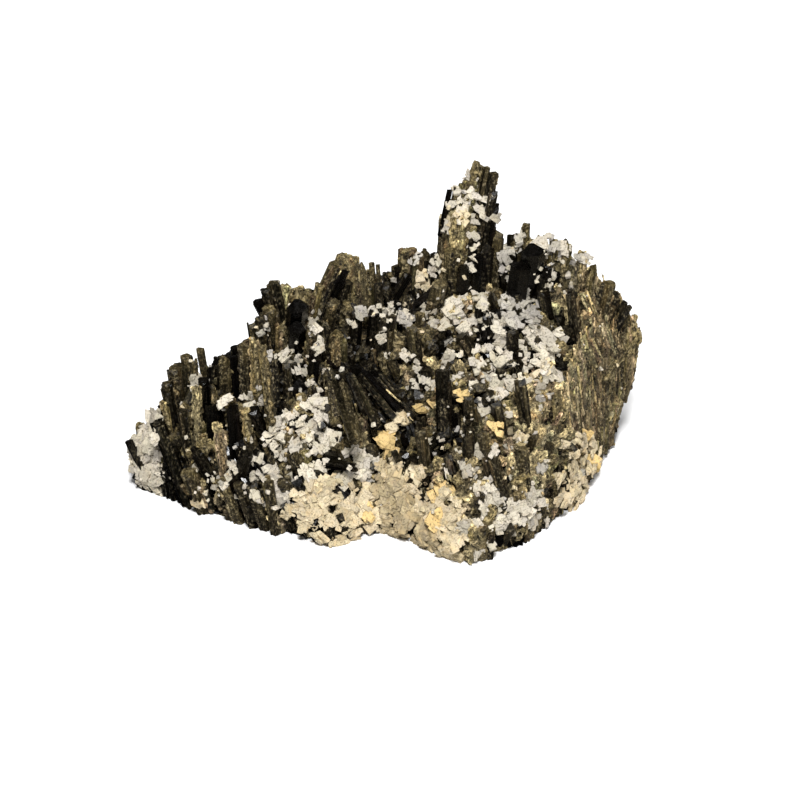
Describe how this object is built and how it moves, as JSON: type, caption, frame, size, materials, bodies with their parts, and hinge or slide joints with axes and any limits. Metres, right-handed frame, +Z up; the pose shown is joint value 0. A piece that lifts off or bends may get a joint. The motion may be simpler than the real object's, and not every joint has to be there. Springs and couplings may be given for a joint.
{
  "type": "clinozoisite mineral specimen",
  "caption": "Hand specimen of clinozoisite: a crust of upright dark six-sided prisms with a tall spire, overgrown by blocky white and cream feldspar crystals, resting on a flat base.",
  "frame": {"origin": "centre of the bounding box on the flat base, z = 0", "axes": "+Z up, +X along the specimen's long way towards the broken columnar flank, -Y towards the front"},
  "size_m": [0.0922, 0.063, 0.0578],
  "materials": {
    "clinozoisite": "glossy to granular striated prism faces, near black to olive brown",
    "feldspar_white": "satin white to pale grey crystal faces",
    "feldspar_cream": "satin to dull cream crystal faces",
    "feldspar_yellow": "satin iron-stained yellow crystal faces"
  },
  "bodies": {
    "root": {"clinozoisite_mass": "clinozoisite", "feldspar_left_block": "feldspar_white", "feldspar_lower_right": "feldspar_white", "feldspar_upper_field": "feldspar_white", "feldspar_ridge": "feldspar_white", "feldspar_left_low": "feldspar_white", "feldspar_back_field": "feldspar_white", "feldspar_upper_left": "feldspar_white", "feldspar_peak_side": "feldspar_white", "feldspar_shoulder": "feldspar_white", "feldspar_left_high": "feldspar_white", "feldspar_left_middle": "feldspar_white", "feldspar_middle_left": "feldspar_white", "feldspar_middle": "feldspar_white", "feldspar_lower_middle": "feldspar_white", "feldspar_spire": "feldspar_white", "feldspar_front_crust": "feldspar_cream", "feldspar_right_knob": "feldspar_cream", "feldspar_right_middle": "feldspar_cream", "feldspar_yellow_crystal": "feldspar_yellow", "feldspar_yellow_pair": "feldspar_yellow"}
  },
  "joints": []
}
